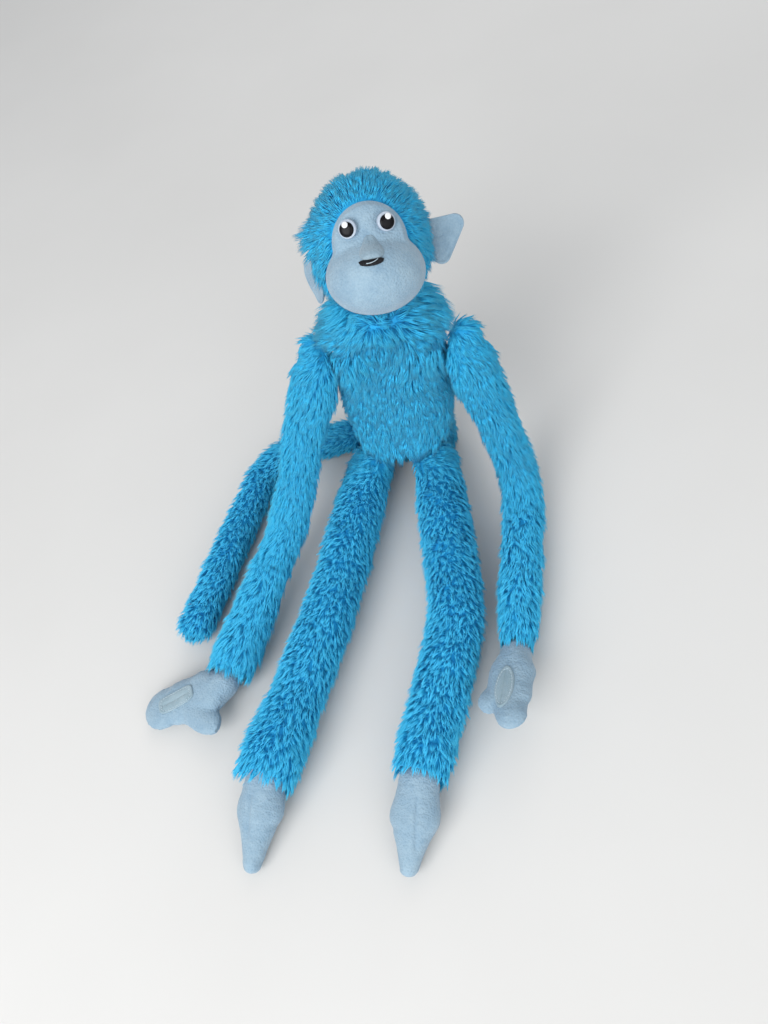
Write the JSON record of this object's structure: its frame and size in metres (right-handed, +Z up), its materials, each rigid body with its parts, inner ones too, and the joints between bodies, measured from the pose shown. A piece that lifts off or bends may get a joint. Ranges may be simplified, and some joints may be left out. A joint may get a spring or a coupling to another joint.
{
  "type": "stuffed monkey",
  "caption": "Plush monkey sitting with legs out: blue long-pile fur, pale short-pile face, ears, hands and feet, and long jointed arms, legs and tail.",
  "frame": {"origin": "middle of the flat seat under the torso, on the floor that the toy sits on", "axes": "+Z up, the monkey faces -Y, its own left is +X"},
  "size_m": [0.19, 0.2461, 0.1647],
  "materials": {
    "blue_fur": "matted long pile",
    "pale_plush": "short velour pile",
    "filling": "loose polyester fibre",
    "black_thread": "satin stitch",
    "blue_thread": "sewing thread",
    "tape": "hook and loop tape",
    "white_plastic": "glossy",
    "black_plastic": "glossy",
    "washer_plastic": "moulded"
  },
  "bodies": {
    "torso": {"torso_cover": "blue_fur", "torso_filling": "filling", "neck_seam": "blue_thread", "back_seam": "blue_thread"},
    "head": {"head_cover": "blue_fur", "head_filling": "filling", "face_panel": "pale_plush", "nose": "pale_plush", "mouth_embroidery": "black_thread", "left_eye": "white_plastic", "right_eye": "white_plastic", "left_pupil": "black_plastic", "right_pupil": "black_plastic", "eye_highlights": "white_plastic", "left_eye_washer": "washer_plastic", "right_eye_washer": "washer_plastic", "left_ear": "pale_plush", "right_ear": "pale_plush"},
    "left_upper_arm": {"left_upper_arm_cover": "blue_fur", "left_upper_arm_filling": "filling"},
    "left_forearm": {"left_forearm_cover": "blue_fur", "left_forearm_filling": "filling"},
    "left_hand": {"left_hand_cover": "pale_plush", "left_hand_filling": "filling", "left_palm_patch": "tape"},
    "left_thigh": {"left_thigh_cover": "blue_fur", "left_thigh_filling": "filling"},
    "left_shin": {"left_shin_cover": "blue_fur", "left_shin_filling": "filling"},
    "left_foot": {"left_foot_cover": "pale_plush", "left_foot_filling": "filling"},
    "right_upper_arm": {"right_upper_arm_cover": "blue_fur", "right_upper_arm_filling": "filling"},
    "right_forearm": {"right_forearm_cover": "blue_fur", "right_forearm_filling": "filling"},
    "right_hand": {"right_hand_cover": "pale_plush", "right_hand_filling": "filling", "right_palm_patch": "tape"},
    "right_thigh": {"right_thigh_cover": "blue_fur", "right_thigh_filling": "filling"},
    "right_shin": {"right_shin_cover": "blue_fur", "right_shin_filling": "filling"},
    "right_foot": {"right_foot_cover": "pale_plush", "right_foot_filling": "filling"},
    "tail_base": {"tail_base_cover": "blue_fur", "tail_base_filling": "filling"},
    "tail_tip": {"tail_tip_cover": "blue_fur", "tail_tip_filling": "filling"}
  },
  "joints": [
    {"name": "neck_nod", "type": "hinge", "parent": "torso", "child": "head", "pos_m": [0.008, -0.0035, 0.107], "axis": [0.969, 0.2237, -0.1045], "range_deg": [-15, 24]},
    {"name": "left_shoulder", "type": "hinge", "parent": "torso", "child": "left_upper_arm", "pos_m": [0.04156, -0.00251, 0.083], "axis": [-0.6225, -0.7447, 0.2408], "range_deg": [0, 120]},
    {"name": "left_elbow", "type": "hinge", "parent": "left_upper_arm", "child": "left_forearm", "pos_m": [0.06194, -0.04251, 0.012], "axis": [-0.9994, 0.0349, 0], "range_deg": [-60, 30]},
    {"name": "left_wrist", "type": "hinge", "parent": "left_forearm", "child": "left_hand", "pos_m": [0.05901, -0.12645, 0.011], "axis": [-0.9677, 0.0552, -0.2462], "range_deg": [-30, 35]},
    {"name": "left_hip", "type": "hinge", "parent": "torso", "child": "left_thigh", "pos_m": [0.017, -0.02349, 0.0135], "axis": [-1, 0, 0], "range_deg": [-85, 30]},
    {"name": "left_knee", "type": "hinge", "parent": "left_thigh", "child": "left_shin", "pos_m": [0.03311, -0.10899, 0.0135], "axis": [-1, 0, 0], "range_deg": [-65, 50]},
    {"name": "left_ankle", "type": "hinge", "parent": "left_shin", "child": "left_foot", "pos_m": [0.02008, -0.18285, 0.0135], "axis": [-1, 0, 0], "range_deg": [-25, 30]},
    {"name": "right_shoulder", "type": "hinge", "parent": "torso", "child": "right_upper_arm", "pos_m": [-0.02879, -0.00251, 0.083], "axis": [-0.7558, 0.5744, -0.3144], "range_deg": [0, 120]},
    {"name": "right_elbow", "type": "hinge", "parent": "right_upper_arm", "child": "right_forearm", "pos_m": [-0.0502, -0.06134, 0.027], "axis": [-0.9511, 0.309, 0], "range_deg": [-60, 55]},
    {"name": "right_wrist", "type": "hinge", "parent": "right_forearm", "child": "right_hand", "pos_m": [-0.07569, -0.13977, 0.011], "axis": [-0.3746, 0.9272, 0], "range_deg": [-30, 35]},
    {"name": "right_hip", "type": "hinge", "parent": "torso", "child": "right_thigh", "pos_m": [-0.017, -0.02349, 0.0135], "axis": [-1, 0, 0], "range_deg": [-85, 30]},
    {"name": "right_knee", "type": "hinge", "parent": "right_thigh", "child": "right_shin", "pos_m": [-0.02911, -0.10964, 0.0135], "axis": [-1, 0, 0], "range_deg": [-65, 50]},
    {"name": "right_ankle", "type": "hinge", "parent": "right_shin", "child": "right_foot", "pos_m": [-0.04725, -0.18241, 0.0135], "axis": [-1, 0, 0], "range_deg": [-25, 30]},
    {"name": "tail_root", "type": "hinge", "parent": "torso", "child": "tail_base", "pos_m": [-0.03505, 0, 0.01], "axis": [0, 0, -1], "range_deg": [0, 60]},
    {"name": "tail_bend", "type": "hinge", "parent": "tail_base", "child": "tail_tip", "pos_m": [-0.07597, -0.00945, 0.01], "axis": [0, 0, -1], "range_deg": [0, 110]}
  ]
}
